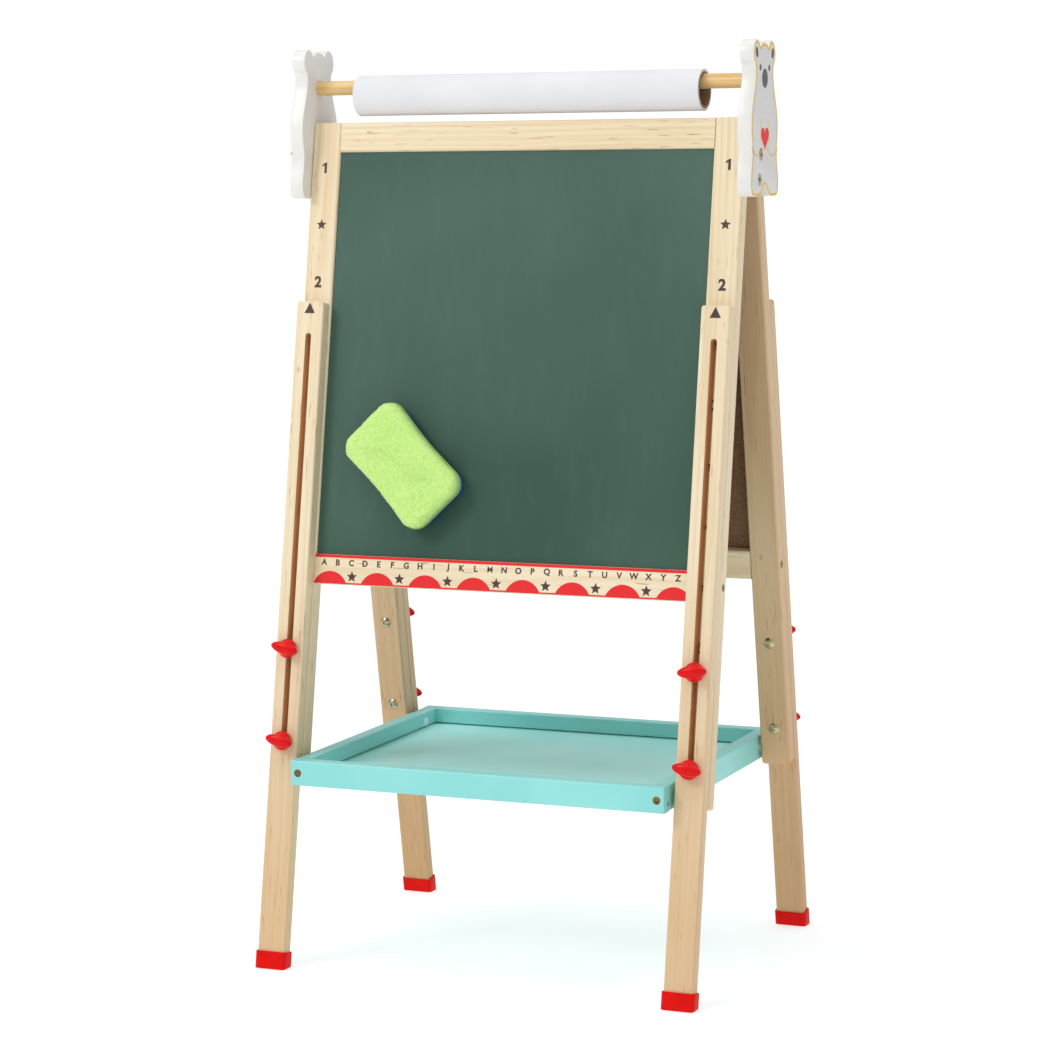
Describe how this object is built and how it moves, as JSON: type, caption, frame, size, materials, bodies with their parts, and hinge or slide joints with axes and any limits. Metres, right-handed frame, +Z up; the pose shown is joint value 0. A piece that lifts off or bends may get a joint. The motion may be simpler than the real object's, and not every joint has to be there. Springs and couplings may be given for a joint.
{
  "type": "kids easel",
  "caption": "Wooden A-frame easel for children with a chalkboard, a whiteboard, sliding slotted legs, a tray, a paper roll between bear-shaped side panels and a magnetic eraser.",
  "frame": {"origin": "on the floor, midway between the two frames and midway across", "axes": "+Z up, the chalkboard faces -Y, the whiteboard faces +Y, +X to the right as seen from the chalkboard's side"},
  "size_m": [0.507, 0.3822, 0.942],
  "materials": {
    "pine": "satin clear lacquer on pale pine",
    "red_rubber": "smooth moulded",
    "bronze_screw": "dull bronzed steel",
    "zinc_steel": "zinc plated",
    "red_plastic": "gloss moulded",
    "chalkboard_paint": "matt green chalkboard coating",
    "whiteboard_paint": "gloss white dry-erase coating",
    "hardboard": "bare brown hardboard",
    "bear_paint": "satin white paint on board",
    "dowel_wood": "smooth beech",
    "cardboard": "plain brown",
    "paper": "matt white drawing paper",
    "turquoise_paint": "satin turquoise paint on wood",
    "turquoise_panel": "satin turquoise paint on board",
    "white_plastic": "gloss",
    "blue_plastic": "satin moulded",
    "lime_fabric": "fluffy pile",
    "magnet_strip": "flexible magnet"
  },
  "bodies": {
    "front_frame": {"front_left_stile": "pine", "front_right_stile": "pine", "front_top_rail": "pine", "front_bottom_rail": "pine", "chalkboard_face": "chalkboard_paint", "chalkboard_backing": "hardboard", "front_frame_screws": "bronze_screw", "front_height_bolts": "zinc_steel", "front_bolt_washers": "zinc_steel", "front_hinge_leaves": "zinc_steel", "front_hinge_screws": "zinc_steel", "hinge_pins": "zinc_steel", "left_bear_panel": "bear_paint", "right_bear_panel": "bear_paint", "bear_screws": "zinc_steel", "tray_pivot_screws": "zinc_steel"},
    "back_frame": {"back_left_stile": "pine", "back_right_stile": "pine", "back_top_rail": "pine", "back_bottom_rail": "pine", "whiteboard_face": "whiteboard_paint", "whiteboard_backing": "hardboard", "back_frame_screws": "bronze_screw", "back_height_bolts": "zinc_steel", "back_bolt_washers": "zinc_steel", "back_hinge_leaves": "zinc_steel", "back_hinge_screws": "zinc_steel"},
    "front_left_leg": {"front_left_leg": "pine", "front_left_foot": "red_rubber"},
    "front_right_leg": {"front_right_leg": "pine", "front_right_foot": "red_rubber"},
    "back_left_leg": {"back_left_leg": "pine", "back_left_foot": "red_rubber"},
    "back_right_leg": {"back_right_leg": "pine", "back_right_foot": "red_rubber"},
    "front_left_upper_knob": {"front_left_upper_knob": "red_plastic"},
    "front_left_lower_knob": {"front_left_lower_knob": "red_plastic"},
    "front_right_upper_knob": {"front_right_upper_knob": "red_plastic"},
    "front_right_lower_knob": {"front_right_lower_knob": "red_plastic"},
    "back_left_upper_knob": {"back_left_upper_knob": "red_plastic"},
    "back_left_lower_knob": {"back_left_lower_knob": "red_plastic"},
    "back_right_upper_knob": {"back_right_upper_knob": "red_plastic"},
    "back_right_lower_knob": {"back_right_lower_knob": "red_plastic"},
    "dowel": {"paper_dowel": "dowel_wood"},
    "roll": {"paper_core": "cardboard", "paper_roll": "paper"},
    "tray": {"tray_front_rail": "turquoise_paint", "tray_rear_rail": "turquoise_paint", "tray_left_rail": "turquoise_paint", "tray_right_rail": "turquoise_paint", "tray_panel": "turquoise_panel", "tray_corner_screws": "bronze_screw", "tray_rear_screws": "zinc_steel", "tray_screw_caps": "white_plastic", "tray_spacers": "zinc_steel"},
    "eraser": {"eraser_body": "blue_plastic", "eraser_pad": "lime_fabric", "eraser_magnet": "magnet_strip"}
  },
  "joints": [
    {"name": "fold", "type": "hinge", "parent": "front_frame", "child": "back_frame", "pos_m": [0, 0, 0.85851], "axis": [-1, 0, 0], "range_deg": [0, 19.5]},
    {"name": "front_left_leg_slide", "type": "slide", "parent": "front_frame", "child": "front_left_leg", "axis": [0, -0.1719, -0.9851], "range_m": [0, 0.325]},
    {"name": "front_right_leg_slide", "type": "slide", "parent": "front_frame", "child": "front_right_leg", "axis": [0, -0.1719, -0.9851], "range_m": [0, 0.325]},
    {"name": "back_left_leg_slide", "type": "slide", "parent": "back_frame", "child": "back_left_leg", "axis": [0, 0.1719, -0.9851], "range_m": [0, 0.325]},
    {"name": "back_right_leg_slide", "type": "slide", "parent": "back_frame", "child": "back_right_leg", "axis": [0, 0.1719, -0.9851], "range_m": [0, 0.325]},
    {"name": "front_left_upper_knob_turn", "type": "hinge", "parent": "front_frame", "child": "front_left_upper_knob", "pos_m": [-0.223, -0.13702, 0.32645], "axis": [0, -0.9851, 0.1719], "continuous": true},
    {"name": "front_left_lower_knob_turn", "type": "hinge", "parent": "front_frame", "child": "front_left_lower_knob", "pos_m": [-0.223, -0.15342, 0.23247], "axis": [0, -0.9851, 0.1719], "continuous": true},
    {"name": "front_right_upper_knob_turn", "type": "hinge", "parent": "front_frame", "child": "front_right_upper_knob", "pos_m": [0.223, -0.13702, 0.32645], "axis": [0, -0.9851, 0.1719], "continuous": true},
    {"name": "front_right_lower_knob_turn", "type": "hinge", "parent": "front_frame", "child": "front_right_lower_knob", "pos_m": [0.223, -0.15342, 0.23247], "axis": [0, -0.9851, 0.1719], "continuous": true},
    {"name": "back_left_upper_knob_turn", "type": "hinge", "parent": "back_frame", "child": "back_left_upper_knob", "pos_m": [-0.2225, 0.13702, 0.32645], "axis": [0, 0.9851, 0.1719], "continuous": true},
    {"name": "back_left_lower_knob_turn", "type": "hinge", "parent": "back_frame", "child": "back_left_lower_knob", "pos_m": [-0.2225, 0.15342, 0.23247], "axis": [0, 0.9851, 0.1719], "continuous": true},
    {"name": "back_right_upper_knob_turn", "type": "hinge", "parent": "back_frame", "child": "back_right_upper_knob", "pos_m": [0.2225, 0.13702, 0.32645], "axis": [0, 0.9851, 0.1719], "continuous": true},
    {"name": "back_right_lower_knob_turn", "type": "hinge", "parent": "back_frame", "child": "back_right_lower_knob", "pos_m": [0.2225, 0.15342, 0.23247], "axis": [0, 0.9851, 0.1719], "continuous": true},
    {"name": "dowel_turn", "type": "hinge", "parent": "front_frame", "child": "dowel", "pos_m": [0, -0.009, 0.90251], "axis": [1, 0, 0], "continuous": true},
    {"name": "roll_turn", "type": "hinge", "parent": "front_frame", "child": "roll", "pos_m": [0, -0.009, 0.89411], "axis": [1, 0, 0], "continuous": true},
    {"name": "tray_lift", "type": "hinge", "parent": "front_frame", "child": "tray", "pos_m": [0, -0.1287, 0.20542], "axis": [1, 0, 0], "range_deg": [0, 30]},
    {"name": "eraser_pull", "type": "slide", "parent": "front_frame", "child": "eraser", "axis": [0, -0.9851, 0.1719], "range_m": [0, 0.15]}
  ]
}
